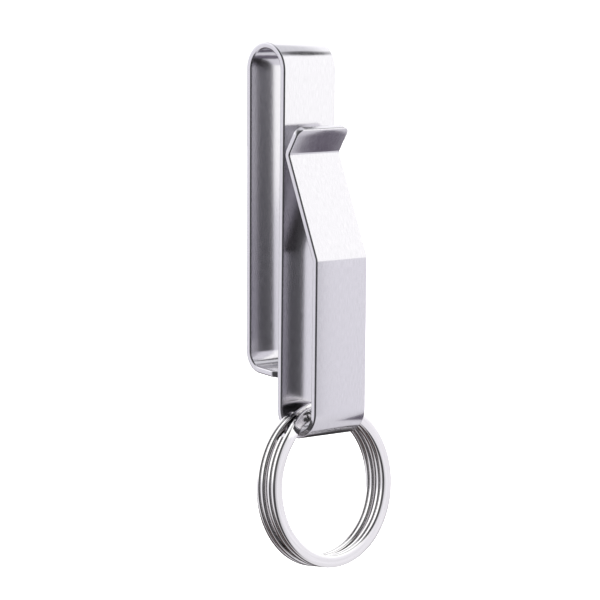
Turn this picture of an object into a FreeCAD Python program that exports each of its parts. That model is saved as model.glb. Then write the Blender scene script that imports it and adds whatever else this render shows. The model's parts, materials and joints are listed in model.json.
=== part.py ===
import FreeCAD, Part
import math
import os
import Sketcher

# A spring-steel belt clip that carries two split rings, in millimetres with +Z up.
#
# One strip of flat steel is bent into the whole clip. From the back to the front it runs up
# the belt leg, over the top bend, down the spine, round the ring loop at the bottom and up
# the gate tongue, which leans back until it nearly touches the spine and ends in a flared lip.
# The strip is divided at its two flex lines, where a round end sits in a hollow seat, so that
# the belt leg and the gate tongue can spring open.
#
# The origin is on the axis of the top bend, in the middle of the belt slot and of the width.
# +X is across the strip, -Y is the gate side (front) and +Y is the belt leg side (back).

SHEET = "Dimensions"

# Driving dimensions: lengths in millimetres, angles in degrees.
DIMENSIONS = {
    # The strip.
    "strip_width": 13.1,
    "strip_thickness": 1.19,
    "strip_edge_radius": 0.22,
    "bend_inner_radius": 3.94,      # both the belt slot's top bend and the ring loop
    "spine_length": 62.9,           # between the axes of the top bend and the ring loop
    # The flex lines.
    "seat_clearance": 0.03,
    "seat_depth": 0.4,              # how far each seat's blunt lips stop short of the axis
    # The belt leg, from its flex line down to its inturned lip.
    "leg_tilt": 0.56,
    "leg_straight": 52.9,
    "leg_lip_turn": 83.7,
    "leg_bend_radius": 2.81,
    "leg_lip_length": 4.72,
    "leg_corner_radius": 1.5,
    # The gate tongue, from its flex line up to its flared lip.
    "gate_straight": 28.15,
    "gate_ramp_turn": 22.1,
    "gate_ramp_length": 19.62,
    "gate_lip_turn": 52.2,
    "gate_lip_length": 5.1,
    "gate_bend_radius": 0.8,
    "gate_corner_radius": 1.5,
    # The split rings: two turns of flat wire each, with a short jog from turn to turn.
    "ring_inner_radius": 13.05,
    "ring_outer_radius": 15.35,
    "coil_thickness": 1.0,
    "coil_gap": 0.08,
    "coil_edge_radius": 0.18,
    "ring_spacing": 2.86,           # from one ring's middle plane to the other's
    "ring_seat_radius": 4.0,        # reached by the coils' corners, if they were sharp
    "ring_rest_swing": -4.5,        # about the loop's axis: the rings rest a little forward
    "jog_angle": 28.0,
    "front_jog_position": 110.0,    # anticlockwise from +X, seen from the front
    "rear_jog_position": 84.0,
}


def make_sheet(doc):
    """Put the driving dimensions into a spreadsheet, one alias to a row."""
    sheet = doc.addObject("Spreadsheet::Sheet", SHEET)
    for row, (alias, number) in enumerate(DIMENSIONS.items(), start=1):
        sheet.set("A%d" % row, alias)
        sheet.set("B%d" % row, str(number))
        sheet.setAlias("B%d" % row, alias)
    doc.recompute()
    return sheet


def cell(alias):
    """The expression that reads one cell of the sheet."""
    return SHEET + "." + alias


def new_body(doc, label):
    body = doc.addObject("PartDesign::Body", label)
    body.Label = label
    return body


def new_sketch(body, name, role):
    """A sketch on one of the body's own origin planes."""
    sketch = body.newObject("Sketcher::SketchObject", name)
    plane = next(item for item in body.Origin.OriginFeatures if item.Role == role)
    sketch.AttachmentSupport = [(plane, "")]
    sketch.MapMode = "FlatFace"
    return sketch


def add_datum(sketch, constraint, name, expression):
    """Add a dimension to a sketch and bind it to the sheet."""
    index = sketch.addConstraint(constraint)
    sketch.renameConstraint(index, name)
    sketch.setExpression("Constraints." + name, expression)


def add_line(sketch, start, end):
    return sketch.addGeometry(Part.LineSegment(start, end))


def add_arc(sketch, centre, radius, start_angle, end_angle):
    """An arc drawn anticlockwise from one angle to the other, in radians."""
    circle = Part.Circle(centre, FreeCAD.Vector(0, 0, 1), radius)
    return sketch.addGeometry(Part.ArcOfCircle(circle, start_angle, end_angle))


def direction(angle):
    return FreeCAD.Vector(math.cos(angle), math.sin(angle), 0)


def draw_strip_side(sketch, sheet, side, heading, runs, turns):
    """Draw one face of a bent strip as tangent lines and arcs.

    The strip starts at the sketch's origin and heads along the angle heading. side is +1 for
    the face on its left and -1 for the face on its right. Returns the lines and, for each
    bend, its arc, all as geometry numbers, and the last point.
    """
    thickness = sheet.get("strip_thickness")
    point = direction(heading + side * math.pi / 2) * (thickness / 2)
    lines = []
    arcs = []
    for run_number, run in enumerate(runs):
        end = point + direction(heading) * sheet.get(run)
        lines.append(add_line(sketch, point, end))
        point = end
        if run_number == len(turns):
            break
        turn, bend_radius, hand = turns[run_number]
        angle = math.radians(sheet.get(turn))
        radius = sheet.get(bend_radius)
        if side != hand:
            radius += thickness
        centre = point + direction(heading + hand * math.pi / 2) * radius
        first = heading - hand * math.pi / 2
        last = first + hand * angle
        arcs.append(add_arc(sketch, centre, radius, min(first, last), max(first, last)))
        heading += hand * angle
        point = centre + direction(last) * radius
    return lines, arcs, point


def draw_bent_strip(sketch, sheet, heading, runs, turns):
    """Draw the closed side view of a bent strip that starts with a round end at the origin.

    runs names the straight lengths in order. turns holds, for each bend between them, the
    cell of its angle, the cell of its inner radius and +1 for a left or -1 for a right turn.
    """
    left, left_arcs, left_end = draw_strip_side(sketch, sheet, 1, heading, runs, turns)
    right, right_arcs, right_end = draw_strip_side(sketch, sheet, -1, heading, runs, turns)
    half = sheet.get("strip_thickness") / 2
    round_end = add_arc(
        sketch, FreeCAD.Vector(0, 0, 0), half, heading + math.pi / 2, heading + math.pi * 1.5)
    tip = add_line(sketch, left_end, right_end)

    sketch.addConstraint(Sketcher.Constraint("Coincident", round_end, 3, -1, 1))
    add_datum(
        sketch, Sketcher.Constraint("Radius", round_end, half), "round_end",
        cell("strip_thickness") + " / 2")
    sketch.addConstraint(Sketcher.Constraint("Tangent", left[0], 1, round_end, 1))
    sketch.addConstraint(Sketcher.Constraint("Tangent", right[0], 1, round_end, 2))
    sketch.addConstraint(Sketcher.Constraint("Vertical", left[0]))

    for number, (turn, bend_radius, hand) in enumerate(turns):
        starts = 1 if hand > 0 else 2
        for lines, arcs in ((left, left_arcs), (right, right_arcs)):
            sketch.addConstraint(
                Sketcher.Constraint("Tangent", lines[number], 2, arcs[number], starts))
            sketch.addConstraint(
                Sketcher.Constraint("Tangent", lines[number + 1], 1, arcs[number], 3 - starts))
        sketch.addConstraint(
            Sketcher.Constraint("Coincident", left_arcs[number], 3, right_arcs[number], 3))
        inner, outer = left_arcs[number], right_arcs[number]
        if hand < 0:
            inner, outer = outer, inner
        radius = sheet.get(bend_radius)
        add_datum(
            sketch, Sketcher.Constraint("Radius", inner, radius),
            "inner_radius_%d" % number, cell(bend_radius))
        add_datum(
            sketch, Sketcher.Constraint("Radius", outer, radius + 2 * half),
            "outer_radius_%d" % number, cell(bend_radius) + " + " + cell("strip_thickness"))
        add_datum(
            sketch,
            Sketcher.Constraint(
                "Angle", left[number], 2, left[number + 1], 1,
                hand * math.radians(sheet.get(turn)) + math.pi),
            "turn_%d" % number, "180 + %d * %s" % (hand, cell(turn)))

    for number, run in enumerate(runs):
        add_datum(
            sketch, Sketcher.Constraint("Distance", left[number], sheet.get(run)),
            "run_%d" % number, cell(run))
    sketch.addConstraint(Sketcher.Constraint("Coincident", tip, 1, left[-1], 2))
    sketch.addConstraint(Sketcher.Constraint("Coincident", tip, 2, right[-1], 2))
    sketch.addConstraint(Sketcher.Constraint("Perpendicular", tip, left[-1]))
    sketch.addConstraint(Sketcher.Constraint("Parallel", left[-1], right[-1]))


def draw_spine(sketch, sheet):
    """Draw the side view of the spine with the top bend and the ring loop."""
    inner = sheet.get("bend_inner_radius")
    outer = inner + sheet.get("strip_thickness")
    length = sheet.get("spine_length")
    depth = sheet.get("seat_depth")
    top = FreeCAD.Vector(0, 0, 0)
    bottom = FreeCAD.Vector(-inner - outer, -length, 0)
    inner_cut = math.asin(depth / inner)
    outer_cut = math.asin(depth / outer)

    top_outer = add_arc(sketch, top, outer, outer_cut, math.pi)
    top_inner = add_arc(sketch, top, inner, inner_cut, math.pi)
    loop_outer = add_arc(sketch, bottom, outer, math.pi + outer_cut, 2 * math.pi)
    loop_inner = add_arc(sketch, bottom, inner, math.pi + inner_cut, 2 * math.pi)
    front = add_line(sketch, FreeCAD.Vector(-outer, 0, 0), FreeCAD.Vector(-outer, -length, 0))
    back = add_line(sketch, FreeCAD.Vector(-inner, 0, 0), FreeCAD.Vector(-inner, -length, 0))
    leg_end = add_line(
        sketch, top + direction(inner_cut) * inner, top + direction(outer_cut) * outer)
    gate_end = add_line(
        sketch, bottom + direction(math.pi + outer_cut) * outer,
        bottom + direction(math.pi + inner_cut) * inner)

    sketch.addConstraint(Sketcher.Constraint("Coincident", top_outer, 3, -1, 1))
    sketch.addConstraint(Sketcher.Constraint("Coincident", top_inner, 3, -1, 1))
    sketch.addConstraint(Sketcher.Constraint("Coincident", loop_outer, 3, loop_inner, 3))
    sketch.addConstraint(Sketcher.Constraint("Tangent", front, 1, top_outer, 2))
    sketch.addConstraint(Sketcher.Constraint("Tangent", front, 2, loop_inner, 2))
    sketch.addConstraint(Sketcher.Constraint("Tangent", back, 1, top_inner, 2))
    sketch.addConstraint(Sketcher.Constraint("Tangent", back, 2, loop_outer, 2))
    sketch.addConstraint(Sketcher.Constraint("Vertical", front))
    sketch.addConstraint(Sketcher.Constraint("Coincident", leg_end, 1, top_inner, 1))
    sketch.addConstraint(Sketcher.Constraint("Coincident", leg_end, 2, top_outer, 1))
    sketch.addConstraint(Sketcher.Constraint("Horizontal", leg_end))
    sketch.addConstraint(Sketcher.Constraint("Coincident", gate_end, 1, loop_outer, 1))
    sketch.addConstraint(Sketcher.Constraint("Coincident", gate_end, 2, loop_inner, 1))
    sketch.addConstraint(Sketcher.Constraint("Horizontal", gate_end))
    add_datum(
        sketch, Sketcher.Constraint("DistanceY", -1, 1, leg_end, 1, depth), "leg_seat_depth",
        cell("seat_depth"))
    add_datum(
        sketch, Sketcher.Constraint("DistanceY", gate_end, 2, loop_inner, 3, depth),
        "gate_seat_depth", cell("seat_depth"))

    outer_radius = cell("bend_inner_radius") + " + " + cell("strip_thickness")
    add_datum(
        sketch, Sketcher.Constraint("Radius", top_inner, inner), "top_inner_radius",
        cell("bend_inner_radius"))
    add_datum(
        sketch, Sketcher.Constraint("Radius", top_outer, outer), "top_outer_radius", outer_radius)
    add_datum(
        sketch, Sketcher.Constraint("Radius", loop_inner, inner), "loop_inner_radius",
        cell("bend_inner_radius"))
    add_datum(
        sketch, Sketcher.Constraint("Radius", loop_outer, outer), "loop_outer_radius",
        outer_radius)
    add_datum(
        sketch, Sketcher.Constraint("DistanceY", loop_inner, 3, -1, 1, length), "length",
        cell("spine_length"))


def pad_across(body, sketch, name):
    """Give a side view the strip's width, half to each side."""
    pad = body.newObject("PartDesign::Pad", name)
    pad.Profile = sketch
    pad.Midplane = True
    pad.setExpression("Length", cell("strip_width"))
    return pad


def fillet(body, base, edges, name, radius_cell):
    rounded = body.newObject("PartDesign::Fillet", name)
    rounded.Base = (base, edges)
    rounded.setExpression("Radius", cell(radius_cell))
    return rounded


def lies_on_side(point, half_width):
    return abs(abs(point.x) - half_width) < 1e-4


def edge_points(edge):
    middle = (edge.FirstParameter + edge.LastParameter) / 2
    return [edge.valueAt(value) for value in (edge.FirstParameter, middle, edge.LastParameter)]


def side_edges(shape, half_width, shortest, longest):
    """Names of the edges that lie wholly in the strip's two cut sides, by their length."""
    names = []
    for number, edge in enumerate(shape.Edges, start=1):
        on_side = all(lies_on_side(point, half_width) for point in edge_points(edge))
        if on_side and shortest < edge.Length < longest:
            names.append("Edge%d" % number)
    return names


def crease_edges(shape):
    """Names of the edges where two faces meet at a real corner, not smoothly."""
    names = []
    for number, edge in enumerate(shape.Edges, start=1):
        middle = edge_points(edge)[1]
        normals = []
        for face in shape.ancestorsOfType(edge, Part.Face):
            place = face.Surface.parameter(middle)
            normals.append(face.normalAt(place[0], place[1]))
        if len(normals) == 2 and abs(normals[0].dot(normals[1])) < 0.5:
            names.append("Edge%d" % number)
    return names


def make_spine(doc, sheet):
    """The spine, the top bend over the belt slot and the ring loop at the bottom."""
    body = new_body(doc, "spine")
    outline = new_sketch(body, "spine_outline", "YZ_Plane")
    draw_spine(outline, sheet)
    pad = pad_across(body, outline, "spine_pad")
    doc.recompute()

    half_width = sheet.get("strip_width") / 2
    thickness = sheet.get("strip_thickness")
    long_edges = side_edges(pad.Shape, half_width, 2 * thickness, 1000)
    rounded = fillet(body, pad, long_edges, "spine_edges", "strip_edge_radius")
    doc.recompute()

    middle = sheet.get("bend_inner_radius") + thickness / 2
    seats = new_sketch(body, "flex_seats", "YZ_Plane")
    seat_radius = cell("strip_thickness") + " / 2 + " + cell("seat_clearance")
    offset = cell("bend_inner_radius") + " + " + cell("strip_thickness") + " / 2"
    radius = thickness / 2 + sheet.get("seat_clearance")
    leg_seat = seats.addGeometry(
        Part.Circle(FreeCAD.Vector(middle, 0, 0), FreeCAD.Vector(0, 0, 1), radius))
    gate_place = FreeCAD.Vector(-3 * middle, -sheet.get("spine_length"), 0)
    gate_seat = seats.addGeometry(Part.Circle(gate_place, FreeCAD.Vector(0, 0, 1), radius))
    seats.addConstraint(Sketcher.Constraint("PointOnObject", leg_seat, 3, -1))
    add_datum(
        seats, Sketcher.Constraint("DistanceX", -1, 1, leg_seat, 3, middle), "leg_seat_offset",
        offset)
    add_datum(
        seats, Sketcher.Constraint("DistanceX", gate_seat, 3, -1, 1, 3 * middle),
        "gate_seat_offset", "3 * (" + offset + ")")
    add_datum(
        seats, Sketcher.Constraint("DistanceY", gate_seat, 3, -1, 1, -gate_place.y),
        "gate_seat_drop", cell("spine_length"))
    add_datum(
        seats, Sketcher.Constraint("Radius", leg_seat, radius), "leg_seat_radius", seat_radius)
    add_datum(
        seats, Sketcher.Constraint("Radius", gate_seat, radius), "gate_seat_radius", seat_radius)

    pocket = body.newObject("PartDesign::Pocket", "spine_seats")
    pocket.Profile = seats
    pocket.Midplane = True
    pocket.setExpression("Length", cell("strip_width") + " + 2")
    doc.recompute()
    if pocket.Shape.Volume > rounded.Shape.Volume - 1:
        raise RuntimeError("the flex seats have cut nothing")
    return body


def make_tongue(doc, sheet, label, heading, runs, turns, corner_cell):
    """One free end of the strip: a round hinge end, straight runs and bends, a rounded tip."""
    body = new_body(doc, label)
    outline = new_sketch(body, label + "_outline", "YZ_Plane")
    draw_bent_strip(outline, sheet, heading, runs, turns)
    pad = pad_across(body, outline, label + "_pad")
    doc.recompute()

    half_width = sheet.get("strip_width") / 2
    thickness = sheet.get("strip_thickness")
    corners = [
        name for name in side_edges(pad.Shape, half_width, 0, thickness * 1.01)
        if is_tip_edge(pad.Shape.getElement(name), thickness)]
    tip = fillet(body, pad, corners, label + "_corners", corner_cell)
    doc.recompute()
    fillet(body, tip, crease_edges(tip.Shape), label + "_edges", "strip_edge_radius")
    doc.recompute()
    return body


def is_tip_edge(edge, thickness):
    """The cut end of the strip is the only straight edge as long as its thickness."""
    straight = edge.Curve.TypeId == "Part::GeomLine"
    return straight and abs(edge.Length - thickness) < 1e-4


def make_belt_leg(doc, sheet):
    """The leg behind the belt, tilted slightly inward, with its lip turned in to the spine."""
    body = make_tongue(
        doc, sheet, "belt_leg", -math.pi / 2,
        ["leg_straight", "leg_lip_length"],
        [("leg_lip_turn", "leg_bend_radius", -1)],
        "leg_corner_radius")
    body.setExpression(
        "Placement.Base.y", cell("bend_inner_radius") + " + " + cell("strip_thickness") + " / 2")
    body.Placement.Rotation = FreeCAD.Rotation(FreeCAD.Vector(-1, 0, 0), 1)
    body.setExpression("Placement.Rotation.Angle", cell("leg_tilt"))
    return body


def make_gate_tongue(doc, sheet):
    """The gate in front of the ring loop: flat plate, ramp back to the throat, flared lip."""
    body = make_tongue(
        doc, sheet, "gate_tongue", math.pi / 2,
        ["gate_straight", "gate_ramp_length", "gate_lip_length"],
        [("gate_ramp_turn", "gate_bend_radius", -1), ("gate_lip_turn", "gate_bend_radius", 1)],
        "gate_corner_radius")
    body.setExpression(
        "Placement.Base.y",
        "-3 * (" + cell("bend_inner_radius") + " + " + cell("strip_thickness") + " / 2)")
    body.setExpression("Placement.Base.z", "-" + cell("spine_length"))
    return body


def draw_coil_section(sketch, sheet, level):
    """Draw the rounded section of one turn of ring wire, above (+1) or below (-1) the middle."""
    inner = sheet.get("ring_inner_radius")
    outer = sheet.get("ring_outer_radius")
    height = sheet.get("coil_thickness")
    corner = sheet.get("coil_edge_radius")
    middle = level * (height + sheet.get("coil_gap")) / 2
    low = middle - height / 2
    high = middle + height / 2

    def place(x, y):
        return FreeCAD.Vector(x, y, 0)

    bottom = add_line(sketch, place(inner + corner, low), place(outer - corner, low))
    right = add_line(sketch, place(outer, low + corner), place(outer, high - corner))
    top = add_line(sketch, place(outer - corner, high), place(inner + corner, high))
    left = add_line(sketch, place(inner, high - corner), place(inner, low + corner))
    sides = [bottom, right, top, left]
    centres = [
        place(outer - corner, low + corner), place(outer - corner, high - corner),
        place(inner + corner, high - corner), place(inner + corner, low + corner)]
    arcs = []
    for number, centre in enumerate(centres):
        first = (number - 1) * math.pi / 2
        arcs.append(add_arc(sketch, centre, corner, first, first + math.pi / 2))
    for number, arc in enumerate(arcs):
        following = sides[(number + 1) % 4]
        sketch.addConstraint(Sketcher.Constraint("Tangent", sides[number], 2, arc, 1))
        sketch.addConstraint(Sketcher.Constraint("Tangent", following, 1, arc, 2))
        if number:
            sketch.addConstraint(Sketcher.Constraint("Equal", arcs[0], arc))
    for line in (bottom, top):
        sketch.addConstraint(Sketcher.Constraint("Horizontal", line))
    for line in (right, left):
        sketch.addConstraint(Sketcher.Constraint("Vertical", line))
    add_datum(
        sketch, Sketcher.Constraint("Radius", arcs[0], corner), "corner",
        cell("coil_edge_radius"))
    add_datum(
        sketch, Sketcher.Constraint("DistanceX", -1, 1, left, 1, inner), "inner",
        cell("ring_inner_radius"))
    add_datum(
        sketch, Sketcher.Constraint("DistanceX", -1, 1, right, 1, outer), "outer",
        cell("ring_outer_radius"))
    add_datum(
        sketch, Sketcher.Constraint("DistanceY", bottom, 1, top, 1, height), "height",
        cell("coil_thickness"))
    near, gap = (bottom, low) if level > 0 else (top, high)
    order = (-1, 1, near, 1) if level > 0 else (near, 1, -1, 1)
    add_datum(
        sketch, Sketcher.Constraint("DistanceY", *order, abs(gap)), "from_middle",
        cell("coil_gap") + " / 2")


def make_split_ring(doc, sheet, label, place, jog_cell):
    """A split ring: a front turn, a short jog and a rear turn of one flat wire.

    The ring's own axis is its local Z, which faces the front. From the jog's position the jog
    climbs anticlockwise from the rear turn to the front turn. Both turns stop short of it, so
    the two wire ends lie at its two ends. place is +1 for the rear ring, -1 for the front one.
    """
    body = new_body(doc, label)
    front = new_sketch(body, label + "_front_section", "XZ_Plane")
    draw_coil_section(front, sheet, 1)
    rear = new_sketch(body, label + "_rear_section", "XZ_Plane")
    draw_coil_section(rear, sheet, -1)
    for section, name in ((rear, "_rear_turn"), (front, "_front_turn")):
        coil = body.newObject("PartDesign::Revolution", label + name)
        coil.Profile = section
        coil.ReferenceAxis = (section, ["V_Axis"])
        coil.Reversed = True
        coil.setExpression("Angle", "360 - " + cell("jog_angle"))
        doc.recompute()
        if section is rear:
            jog = body.newObject("PartDesign::AdditiveHelix", label + "_jog")
            jog.Profile = rear
            jog.ReferenceAxis = (rear, ["V_Axis"])
            jog.Mode = "height-turns-angle"
            jog.setExpression("Height", cell("coil_thickness") + " + " + cell("coil_gap"))
            jog.setExpression("Turns", cell("jog_angle") + " / 360")
            doc.recompute()

    swing = FreeCAD.Rotation(FreeCAD.Vector(1, 0, 0), sheet.get("ring_rest_swing"))
    upright = FreeCAD.Rotation(FreeCAD.Vector(1, 0, 0), 90)
    spin = FreeCAD.Rotation(FreeCAD.Vector(0, 0, 1), sheet.get(jog_cell))
    body.Placement.Rotation = swing.multiply(upright).multiply(spin)
    offset = "(%d * %s / 2)" % (place, cell("ring_spacing"))
    angle = "(%s * 1 deg)" % cell("ring_rest_swing")
    body.setExpression(
        "Placement.Base.y",
        "-2 * %s - %s + %s * cos(%s) + %s * sin(%s)" % (
            cell("bend_inner_radius"), cell("strip_thickness"), offset, angle, hang(), angle))
    body.setExpression(
        "Placement.Base.z",
        "-%s + %s * sin(%s) - %s * cos(%s)" % (
            cell("spine_length"), offset, angle, hang(), angle))
    return body


def hang():
    """How far a ring's centre hangs from the loop's axis, as an expression.

    A ring's bore rests on the two edges of the strip inside the loop, so it hangs by the drop
    of the loop's curve at the outermost coil, and then by the drop from the bore's crown to
    the strip's edges.
    """
    half_stack = "(%s / 2 + %s + %s / 2)" % (
        cell("ring_spacing"), cell("coil_thickness"), cell("coil_gap"))
    seat_drop = "sqrt(%s^2 - %s^2)" % (cell("ring_seat_radius"), half_stack)
    bore_drop = "sqrt(%s^2 - (%s / 2)^2)" % (cell("ring_inner_radius"), cell("strip_width"))
    return "(%s + %s)" % (seat_drop, bore_drop)


def check(doc, bodies):
    """Stop if any object failed to compute or any sub-part isn't one sound solid."""
    for item in doc.Objects:
        if "Invalid" in item.State or "Error" in item.State:
            raise RuntimeError("%s did not compute: %s" % (item.Label, item.State))
    for body in bodies:
        shape = body.Shape
        if shape.isNull() or not shape.isValid() or len(shape.Solids) != 1:
            raise RuntimeError(body.Label + " is not one valid solid")


def main():
    doc = FreeCAD.newDocument("belt_clip")
    sheet = make_sheet(doc)
    bodies = [
        make_spine(doc, sheet),
        make_belt_leg(doc, sheet),
        make_gate_tongue(doc, sheet),
        make_split_ring(doc, sheet, "front_split_ring", -1, "front_jog_position"),
        make_split_ring(doc, sheet, "rear_split_ring", 1, "rear_jog_position"),
    ]
    doc.recompute()
    check(doc, bodies)
    os.makedirs("parts", exist_ok=True)
    for body in bodies:
        body.Shape.exportStep(os.path.join("parts", body.Label + ".step"))
        box = body.Shape.BoundBox
        print(
            body.Label, "volume %.2f" % body.Shape.Volume,
            "x %.2f..%.2f y %.2f..%.2f z %.2f..%.2f" % (
                box.XMin, box.XMax, box.YMin, box.YMax, box.ZMin, box.ZMax))


main()
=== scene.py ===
import json
import math

import bpy
from mathutils import Matrix, Vector


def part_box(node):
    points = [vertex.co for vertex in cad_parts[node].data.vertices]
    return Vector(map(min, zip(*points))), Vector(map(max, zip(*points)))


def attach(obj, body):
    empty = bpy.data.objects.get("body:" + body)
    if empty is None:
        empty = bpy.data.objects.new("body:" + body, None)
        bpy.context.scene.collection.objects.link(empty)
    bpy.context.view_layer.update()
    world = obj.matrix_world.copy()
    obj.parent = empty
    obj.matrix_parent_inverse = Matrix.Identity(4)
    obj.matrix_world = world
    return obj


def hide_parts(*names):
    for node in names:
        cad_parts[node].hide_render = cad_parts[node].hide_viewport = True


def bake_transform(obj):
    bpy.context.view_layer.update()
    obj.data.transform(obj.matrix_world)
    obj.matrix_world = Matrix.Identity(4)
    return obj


# The looks of a steel belt clip with two split rings, in metres, in the part's own frame.
# The strip is drawn as two smooth pieces that meet in the middle of the spine.

MM = 0.001
# A length that is too small to matter.
SMALL = 0.001 * MM

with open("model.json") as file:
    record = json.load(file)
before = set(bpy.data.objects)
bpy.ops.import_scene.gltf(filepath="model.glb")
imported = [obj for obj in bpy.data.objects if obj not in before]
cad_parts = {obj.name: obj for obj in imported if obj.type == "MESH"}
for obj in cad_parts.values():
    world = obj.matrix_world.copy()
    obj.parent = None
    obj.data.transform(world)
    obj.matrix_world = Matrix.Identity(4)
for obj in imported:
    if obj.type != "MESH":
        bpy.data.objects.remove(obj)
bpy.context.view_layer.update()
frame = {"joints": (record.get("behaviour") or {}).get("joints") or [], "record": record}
joints = {joint["name"]: joint for joint in frame["joints"]}
mounts = {mount["name"]: mount for mount in frame["record"]["mounts"]}

# Sizes that follow from the frame. The origin is the axis of the top bend.
SPINE_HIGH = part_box("spine")[1]
LEG_HINGE = Vector(joints["leg_flex"]["pos_m"])
LOOP_AXIS = Vector(joints["front_ring_swing"]["pos_m"])
HALF_WIDTH = SPINE_HIGH.x
BEND_RADIUS = LEG_HINGE.y
THICKNESS = 2 * (SPINE_HIGH.z - BEND_RADIUS)
LEG_TILT = -math.asin(mounts["leg_back_face"]["axis"][2])

# The strip's own bends and runs, from the seam between its two pieces to its two tips.
# The bends' radii are those of its middle line.
EDGE_RADIUS = 0.28 * MM
SEAM_HEIGHT = -31 * MM
LEG_RUN = 52.9 * MM
LEG_LIP_TURN = math.radians(83.7)
LEG_LIP_RADIUS = 2.81 * MM + THICKNESS / 2
LEG_LIP_RUN = 4.72 * MM
LEG_CORNER = 1.5 * MM
GATE_RUN = 28.15 * MM
RAMP_TURN = math.radians(22.1)
RAMP_RUN = 19.62 * MM
GATE_LIP_TURN = math.radians(52.2)
GATE_LIP_RUN = 5.1 * MM
GATE_BEND_RADIUS = 0.8 * MM + THICKNESS / 2
GATE_CORNER = 1.5 * MM

# The split rings' wire. Each jog starts at its own angle, anticlockwise from +X, seen from the
# front.
COIL_THICKNESS = 0.96 * MM
COIL_PITCH = 1.08 * MM
WIRE_EDGE_RADIUS = 0.32 * MM
WIRE_END_RADIUS = 0.12 * MM
RING_OUTER_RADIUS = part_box("front_split_ring")[1].x
JOG = math.radians(28)
FRONT_JOG_AT = math.radians(110)
REAR_JOG_AT = math.radians(84)

# How finely the curves are cut.
PATH_STEP = 1.0 * MM
BEND_STEP = math.radians(4)
TIP_CORNER_STEPS = 12
STRIP_EDGE_STEPS = 5
WIRE_EDGE_STEPS = 4
RING_STEPS = 354


# Geometry.

def rounded_section(half_wide, half_high, radius, corner_steps):
    """Points round a rounded rectangle, anticlockwise, from the upper end of its right side."""
    radius = max(min(radius, half_wide, half_high), SMALL)
    points = []
    for quarter in range(4):
        start = quarter * math.pi / 2
        centre_x = (half_wide - radius) * (1 if quarter in (0, 3) else -1)
        centre_y = (half_high - radius) * (1 if quarter in (0, 1) else -1)
        for step in range(corner_steps + 1):
            angle = start + step / corner_steps * math.pi / 2
            points.append((
                centre_x + radius * math.cos(angle), centre_y + radius * math.sin(angle)))
    return points


def end_gaps(radius, steps):
    """Distances from an end to the samples of its quarter round, from far to near."""
    return [radius * (1 - math.sin(step / steps * math.pi / 2)) for step in range(steps + 1)]


def end_inset(radius, left):
    """How far an end's quarter round draws a side in, where this much of the piece is left."""
    if left >= radius:
        return 0.0
    return radius - math.sqrt(max(radius ** 2 - (radius - left) ** 2, 0))


def skin_faces(row_count, size):
    """Four-sided faces between neighbouring rows, and then the two end faces.

    The end faces have points of their own, which follow the rows' points, so that they don't
    bend the sides' shading.
    """
    faces = []
    for row in range(row_count - 1):
        for item in range(size):
            following = (item + 1) % size
            faces.append((
                row * size + item, row * size + following,
                (row + 1) * size + following, (row + 1) * size + item))
    first = row_count * size
    last = first + size
    faces.append(tuple(first + item for item in reversed(range(size))))
    faces.append(tuple(last + item for item in range(size)))
    return faces


def lay_grain(mesh, row_points, along):
    """Add a UV map of (across, along) in metres and smooth every face but the two ends."""
    size = len(row_points)
    around = [0.0]
    for item in range(size):
        step = (Vector(row_points[(item + 1) % size]) - Vector(row_points[item])).length
        around.append(around[-1] + step)
    uv = mesh.uv_layers.new(name="grain")
    for polygon in mesh.polygons:
        polygon.use_smooth = len(polygon.vertices) == 4
        wraps = any(mesh.loops[loop].vertex_index % size == size - 1
                    for loop in polygon.loop_indices)
        for loop in polygon.loop_indices:
            row, item = divmod(mesh.loops[loop].vertex_index, size)
            across = around[size] if wraps and item == 0 else around[item]
            uv.data[loop].uv = (across, along[row])


def skin(name, rows, along):
    """A closed mesh through equal rows of points.

    rows is a list of point rings and along holds each ring's distance along the piece.
    """
    points = [tuple(point) for row in rows + [rows[0], rows[-1]] for point in row]
    mesh = bpy.data.meshes.new(name)
    mesh.from_pydata(points, [], skin_faces(len(rows), len(rows[0])))
    mesh.validate()
    lay_grain(mesh, rows[0], along + [along[0], along[-1]])
    mesh.update()
    piece = bpy.data.objects.new(name, mesh)
    bpy.context.scene.collection.objects.link(piece)
    return piece


def walk(start, heading, steps):
    """Sample a path in the YZ plane: a list of (point, heading, distance).

    steps holds ("run", length) and ("turn", angle, radius), where a turn to the right is
    positive. Points are (y, z) vectors.
    """
    point = Vector(start)
    samples = [(point.copy(), heading, 0.0)]
    distance = 0.0
    for step in steps:
        if step[0] == "run":
            count = max(1, math.ceil(step[1] / PATH_STEP))
            length = step[1] / count
            for _ in range(count):
                point = point + Vector((math.cos(heading), math.sin(heading))) * length
                distance += length
                samples.append((point.copy(), heading, distance))
            continue
        angle, radius = step[1], step[2]
        hand = 1 if angle > 0 else -1
        side = heading - hand * math.pi / 2
        centre = point + Vector((math.cos(side), math.sin(side))) * radius
        count = max(2, math.ceil(abs(angle) / BEND_STEP))
        for number in range(1, count + 1):
            turned = angle * number / count
            out = side + math.pi - turned
            place = centre + Vector((math.cos(out), math.sin(out))) * radius
            samples.append((place, heading - turned, distance + radius * abs(turned)))
        heading -= angle
        distance += radius * abs(angle)
        point = samples[-1][0].copy()
    return samples


def tip_samples(samples, corner):
    """Add close samples near the end of a path, where the tip's corners and edge are rounded."""
    end, heading, total = samples[-1]
    forward = Vector((math.cos(heading), math.sin(heading)))
    gaps = set(end_gaps(corner, TIP_CORNER_STEPS) + end_gaps(EDGE_RADIUS, STRIP_EDGE_STEPS))
    kept = [sample for sample in samples if sample[2] < total - corner - SMALL]
    return kept + [
        (end - forward * gap, heading, total - gap) for gap in sorted(gaps, reverse=True)]


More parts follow.
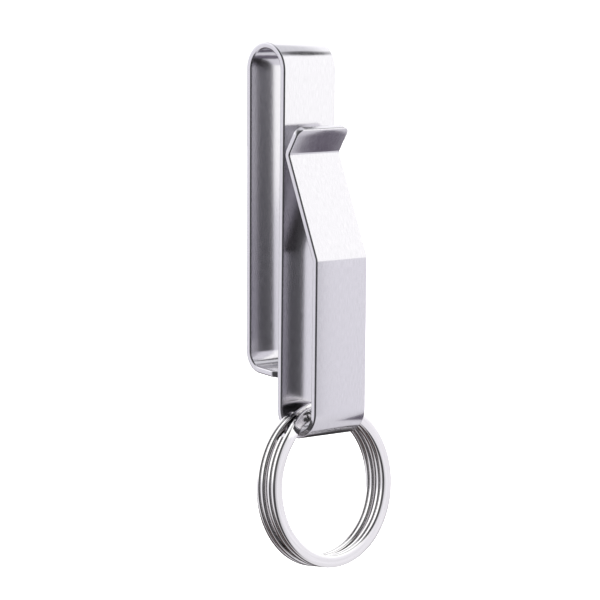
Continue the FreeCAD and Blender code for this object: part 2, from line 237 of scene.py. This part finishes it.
def strip_piece(name, heading, steps, corner):
    """Sweep the strip's section along a path from the seam, with a rounded tip at its end.

    heading is the path's first direction, up or down the spine. The grain is laid by the
    distance from the seam, which counts as negative for the piece that starts down.
    """
    samples = tip_samples(walk((-BEND_RADIUS, SEAM_HEIGHT), heading, steps), corner)
    total = samples[-1][2]
    rows = []
    along = []
    for point, turned_to, distance in samples:
        left = total - distance
        section = rounded_section(
            HALF_WIDTH - end_inset(corner, left), THICKNESS / 2 - end_inset(EDGE_RADIUS, left),
            EDGE_RADIUS, STRIP_EDGE_STEPS)
        normal = Vector((-math.sin(turned_to), math.cos(turned_to)))
        rows.append([
            Vector((x, point.x + normal.x * off, point.y + normal.y * off))
            for x, off in section])
        along.append(math.copysign(distance, heading))
    return skin(name, rows, along)


def make_upper_strip():
    """The upper spine, the top bend and the belt leg with its inturned lip."""
    steps = [
        ("run", -SEAM_HEIGHT),
        ("turn", math.pi + LEG_TILT, BEND_RADIUS),
        ("run", LEG_RUN),
        ("turn", LEG_LIP_TURN, LEG_LIP_RADIUS),
        ("run", LEG_LIP_RUN),
    ]
    return strip_piece("clip_strip_upper", math.pi / 2, steps, LEG_CORNER)


def make_lower_strip():
    """The lower spine, the ring loop and the gate tongue with its flared lip."""
    steps = [
        ("run", SEAM_HEIGHT - LOOP_AXIS.z),
        ("turn", math.pi, BEND_RADIUS),
        ("run", GATE_RUN),
        ("turn", RAMP_TURN, GATE_BEND_RADIUS),
        ("run", RAMP_RUN),
        ("turn", -GATE_LIP_TURN, GATE_BEND_RADIUS),
        ("run", GATE_LIP_RUN),
    ]
    return strip_piece("clip_strip_lower", -math.pi / 2, steps, GATE_CORNER)


def smooth(value):
    """A soft step: 0 below 0, 1 above 1 and a smooth climb between."""
    value = min(max(value, 0.0), 1.0)
    return value * value * (3 - 2 * value)


def make_split_ring(name, bore, facing, jog_at):
    """Two turns of flat wire with a smooth jog between them and two cut ends.

    bore is the ring's own mount and facing is +1 if that mount's axis faces the front.
    """
    centre = Vector(bore["pos_m"])
    front = Vector(bore["axis"]) * facing
    right = Vector((1, 0, 0))
    up = front.cross(right)
    inner = bore["dims"]["r_mm"] * MM
    middle = (RING_OUTER_RADIUS + inner) / 2
    half_wide = (RING_OUTER_RADIUS - inner) / 2

    sweep = 4 * math.pi - JOG
    gaps = [gap / middle for gap in end_gaps(WIRE_END_RADIUS, WIRE_EDGE_STEPS)]
    angles = [sweep * step / RING_STEPS for step in range(RING_STEPS + 1)]
    angles = [angle for angle in angles if gaps[0] < angle < sweep - gaps[0]]
    angles = sorted(gaps) + angles + [sweep - gap for gap in gaps]
    rows = []
    along = []
    for angle in angles:
        climb = smooth((angle - (2 * math.pi - JOG)) / JOG)
        level = (climb - 0.5) * COIL_PITCH
        inset = end_inset(WIRE_END_RADIUS, min(angle, sweep - angle) * middle)
        section = rounded_section(
            half_wide - inset, COIL_THICKNESS / 2 - inset, WIRE_EDGE_RADIUS, WIRE_EDGE_STEPS)
        turn = angle + jog_at + JOG
        out = right * math.cos(turn) + up * math.sin(turn)
        rows.append([
            centre + out * (middle + wide) + front * (level + high) for wide, high in section])
        along.append(middle * angle)
    return skin(name, rows, along)


# Materials.

# The values between which nearly all of the noise lies.
NOISE_LOW = 0.3
NOISE_HIGH = 0.7


def new_material(name):
    material = bpy.data.materials.new(name)
    material.use_nodes = True
    return material, material.node_tree.nodes["Principled BSDF"]


def grain_noise(tree, across, along, detail):
    """Noise drawn out along the metal's length, in cycles to the metre each way."""
    uv = tree.nodes.new("ShaderNodeUVMap")
    uv.uv_map = "grain"
    mapping = tree.nodes.new("ShaderNodeMapping")
    mapping.inputs["Scale"].default_value = (across, along, 1)
    noise = tree.nodes.new("ShaderNodeTexNoise")
    noise.inputs["Scale"].default_value = 1.0
    noise.inputs["Detail"].default_value = detail
    noise.inputs["Roughness"].default_value = 0.6
    tree.links.new(uv.outputs["UV"], mapping.inputs["Vector"])
    tree.links.new(mapping.outputs["Vector"], noise.inputs["Vector"])
    return noise.outputs["Fac"]


def ramp(tree, source, stops):
    """A colour ramp through a list of (position, colour) stops."""
    node = tree.nodes.new("ShaderNodeValToRGB")
    elements = node.color_ramp.elements
    while len(elements) < len(stops):
        elements.new(0.5)
    for element, (position, _) in zip(elements, stops):
        element.position = position
    for element, (_, colour) in zip(elements, stops):
        element.color = (*colour, 1)
    tree.links.new(source, node.inputs["Fac"])
    return node.outputs["Color"]


def remap(tree, noise, low, high):
    """The noise, stretched to run from low to high."""
    node = tree.nodes.new("ShaderNodeMapRange")
    node.inputs["From Min"].default_value = NOISE_LOW
    node.inputs["From Max"].default_value = NOISE_HIGH
    node.inputs["To Min"].default_value = low
    node.inputs["To Max"].default_value = high
    tree.links.new(noise, node.inputs["Value"])
    return node.outputs["Result"]


def bump(tree, shader, source, strength, depth):
    node = tree.nodes.new("ShaderNodeBump")
    node.inputs["Strength"].default_value = strength
    node.inputs["Distance"].default_value = depth
    tree.links.new(source, node.inputs["Height"])
    tree.links.new(node.outputs["Normal"], shader.inputs["Normal"])


def grained_steel(name, grain, colours, roughness, relief):
    """Bare metal whose colour, roughness and surface follow one noise.

    grain is (cycles across, cycles along, detail). colours and roughness each hold the value
    for low noise and the value for high noise. relief is (strength, depth).
    """
    material, shader = new_material(name)
    tree = material.node_tree
    shader.inputs["Metallic"].default_value = 1.0
    noise = grain_noise(tree, *grain)
    colour = ramp(tree, noise, [(NOISE_LOW, colours[0]), (NOISE_HIGH, colours[1])])
    tree.links.new(colour, shader.inputs["Base Color"])
    tree.links.new(remap(tree, noise, *roughness), shader.inputs["Roughness"])
    bump(tree, shader, noise, *relief)
    return material


def brushed_steel():
    """Satin stainless strip with a fine grain along its length."""
    return grained_steel(
        "brushed_strip_steel", grain=(5200, 700, 3),
        colours=((0.60, 0.59, 0.62), (0.67, 0.66, 0.69)),
        roughness=(0.14, 0.19), relief=(0.08, 0.004 * MM))


def polished_steel():
    """Plated split-ring wire: nearly a mirror, with faint drawing marks along the wire."""
    return grained_steel(
        "polished_ring_steel", grain=(2600, 120, 2),
        colours=((0.72, 0.71, 0.71), (0.79, 0.78, 0.78)),
        roughness=(0.04, 0.09), relief=(0.15, 0.006 * MM))


def finish_piece(piece, material):
    piece.data.materials.append(material)


# The camera and the studio.

# The camera stands 44 degrees round to the gate's left, a little above, with a long lens.
AZIMUTH = math.radians(-43.9)
ELEVATION = math.radians(6.57)
ROLL = math.radians(0.58)
DISTANCE = 661.9 * MM
LENS = 212.4
SENSOR_WIDTH = 36
AIM = Vector((0, -5.13, -45.0)) * MM
AIM_SHIFT_RIGHT = -1.44 * MM
AIM_SHIFT_UP = 2.0 * MM
VIEW_FROM = (
    math.sin(AZIMUTH) * math.cos(ELEVATION), -math.cos(AZIMUTH) * math.cos(ELEVATION),
    math.sin(ELEVATION))

# The studio's light by height, from straight down at 0 to straight up at 1.
STUDIO_LIGHT = [
    (0.00, (0.55, 0.54, 0.57)),
    (0.25, (0.62, 0.61, 0.64)),
    (0.50, (0.68, 0.67, 0.71)),
    (0.56, (0.98, 0.98, 1.00)),
    (0.825, (1.00, 1.00, 1.00)),
    (0.850, (0.62, 0.62, 0.64)),
    (1.00, (0.58, 0.58, 0.60))]
STUDIO_STRENGTH = 1.6
BACKDROP_STRENGTH = 1.1

# Directions that are dark in the studio: centre, cosines of the edge and the core, shade. They
# are where the object is looked at from, the low part behind it as the camera sees it, the
# ground behind its leg, and a narrow gap between softboxes, high on the right.
DARK_PLACES = [
    (VIEW_FROM, 0.12, 0.40, (0.08, 0.08, 0.08)),
    ((0.63, 0.655, -0.42), 0.84, 0.92, (0.12, 0.12, 0.12)),
    ((0.126, 0.716, -0.677), 0.70, 0.86, (0.08, 0.055, 0.05)),
    ((0.689, -0.260, 0.676), 0.985, 0.994, (0.05, 0.05, 0.05))]

FLOOR_SIZE = 12
FLOOR_HEIGHT = -0.6


def lobe(tree, place, centre, edge, core, shade):
    """White everywhere except round one direction, where it falls to a shade.

    edge and core are the cosines of the angles where the fall starts and ends.
    """
    dot = tree.nodes.new("ShaderNodeVectorMath")
    dot.operation = "DOT_PRODUCT"
    dot.inputs[1].default_value = Vector(centre).normalized()
    tree.links.new(place, dot.inputs[0])
    return ramp(tree, dot.outputs["Value"], [(edge, (1, 1, 1)), (core, shade)])


def times(tree, first, second):
    """The product of two colours."""
    node = tree.nodes.new("ShaderNodeMix")
    node.data_type = "RGBA"
    node.blend_type = "MULTIPLY"
    node.inputs["Factor"].default_value = 1
    tree.links.new(first, node.inputs["A"])
    tree.links.new(second, node.inputs["B"])
    return node.outputs["Result"]


def studio_colour(tree):
    """The studio's colour in each direction: its light by height, less the dark places."""
    place = tree.nodes.new("ShaderNodeTexCoord")
    split = tree.nodes.new("ShaderNodeSeparateXYZ")
    height = tree.nodes.new("ShaderNodeMapRange")
    height.inputs["From Min"].default_value = -1
    height.inputs["From Max"].default_value = 1
    tree.links.new(place.outputs["Generated"], split.inputs["Vector"])
    tree.links.new(split.outputs["Z"], height.inputs["Value"])
    colour = ramp(tree, height.outputs["Result"], STUDIO_LIGHT)
    for dark_place in DARK_PLACES:
        colour = times(tree, colour, lobe(tree, place.outputs["Generated"], *dark_place))
    return colour


def make_world():
    """A soft studio for the object, and plain white for the camera itself."""
    world = bpy.data.worlds.new("studio")
    bpy.context.scene.world = world
    world.use_nodes = True
    tree = world.node_tree
    tree.nodes.clear()
    studio = tree.nodes.new("ShaderNodeBackground")
    studio.inputs["Strength"].default_value = STUDIO_STRENGTH
    backdrop = tree.nodes.new("ShaderNodeBackground")
    backdrop.inputs["Color"].default_value = (1, 1, 1, 1)
    backdrop.inputs["Strength"].default_value = BACKDROP_STRENGTH
    rays = tree.nodes.new("ShaderNodeLightPath")
    mix = tree.nodes.new("ShaderNodeMixShader")
    out = tree.nodes.new("ShaderNodeOutputWorld")
    tree.links.new(studio_colour(tree), studio.inputs["Color"])
    tree.links.new(rays.outputs["Is Camera Ray"], mix.inputs["Fac"])
    tree.links.new(studio.outputs["Background"], mix.inputs[1])
    tree.links.new(backdrop.outputs["Background"], mix.inputs[2])
    tree.links.new(mix.outputs["Shader"], out.inputs["Surface"])


def make_card(name, centre, facing, width, height, colour):
    """A glowing rectangle that is only seen in reflections."""
    bpy.ops.mesh.primitive_plane_add(size=1, location=centre)
    card = bpy.context.object
    card.name = name
    card.scale = (width, height, 1)
    card.rotation_euler = Vector(facing).to_track_quat("Z", "Y").to_euler()
    material, shader = new_material(name + "_glow")
    shader.inputs["Base Color"].default_value = (0, 0, 0, 1)
    shader.inputs["Specular IOR Level"].default_value = 0
    shader.inputs["Emission Color"].default_value = (*colour, 1)
    shader.inputs["Emission Strength"].default_value = 1.0
    card.data.materials.append(material)
    card.visible_camera = False
    card.visible_diffuse = False
    card.visible_shadow = False


def make_cards():
    """A softbox at the front right and a small dark flag low on the right."""
    make_card(
        "softbox", centre=Vector((107, -115, 42)) * MM, facing=(-0.69, 0.72, 0),
        width=130 * MM, height=156 * MM, colour=(1.5, 1.5, 1.48))
    make_card(
        "flag", centre=Vector((103, -46, -114)) * MM, facing=(-0.689, 0.256, 0.678),
        width=46 * MM, height=46 * MM, colour=(0.16, 0.14, 0.18))


def make_floor():
    """A plain pale floor well below the hanging object, out of its reflections."""
    bpy.ops.mesh.primitive_plane_add(size=FLOOR_SIZE, location=(0, 0, FLOOR_HEIGHT))
    floor = bpy.context.object
    floor.name = "floor"
    material, shader = new_material("pale_floor")
    shader.inputs["Base Color"].default_value = (0.9, 0.9, 0.9, 1)
    shader.inputs["Roughness"].default_value = 0.9
    shader.inputs["Emission Color"].default_value = (1, 1, 1, 1)
    shader.inputs["Emission Strength"].default_value = 1.0
    floor.data.materials.append(material)
    floor.visible_glossy = False
    floor.visible_diffuse = False


def make_camera():
    data = bpy.data.cameras.new("camera")
    data.lens = LENS
    data.sensor_width = SENSOR_WIDTH
    data.clip_start = 0.01
    data.clip_end = 100
    camera = bpy.data.objects.new("camera", data)
    bpy.context.scene.collection.objects.link(camera)
    back = Vector(VIEW_FROM)
    turn = (-back).to_track_quat("-Z", "Y").to_matrix()
    right = turn @ Vector((1, 0, 0))
    up = turn @ Vector((0, 1, 0))
    aim = AIM + right * AIM_SHIFT_RIGHT + up * AIM_SHIFT_UP
    camera.matrix_world = (
        Matrix.Translation(aim + back * DISTANCE)
        @ turn.to_4x4()
        @ Matrix.Rotation(ROLL, 4, "Z"))
    bpy.context.scene.camera = camera


# The object.

strip_steel = brushed_steel()
ring_steel = polished_steel()

upper = make_upper_strip()
finish_piece(upper, strip_steel)
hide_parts("belt_leg", "spine")
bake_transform(upper)

lower = make_lower_strip()
finish_piece(lower, strip_steel)
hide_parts("gate_tongue", "spine")
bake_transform(lower)

for node, mount, facing, jog_at in (
        ("front_split_ring", "front_ring_bore", 1, FRONT_JOG_AT),
        ("rear_split_ring", "rear_ring_bore", -1, REAR_JOG_AT)):
    ring = make_split_ring(node + "_wire", mounts[mount], facing, jog_at)
    finish_piece(ring, ring_steel)
    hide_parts(node)
    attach(ring, node)

make_world()
make_cards()
make_floor()
make_camera()
bpy.context.scene.view_settings.view_transform = "Standard"
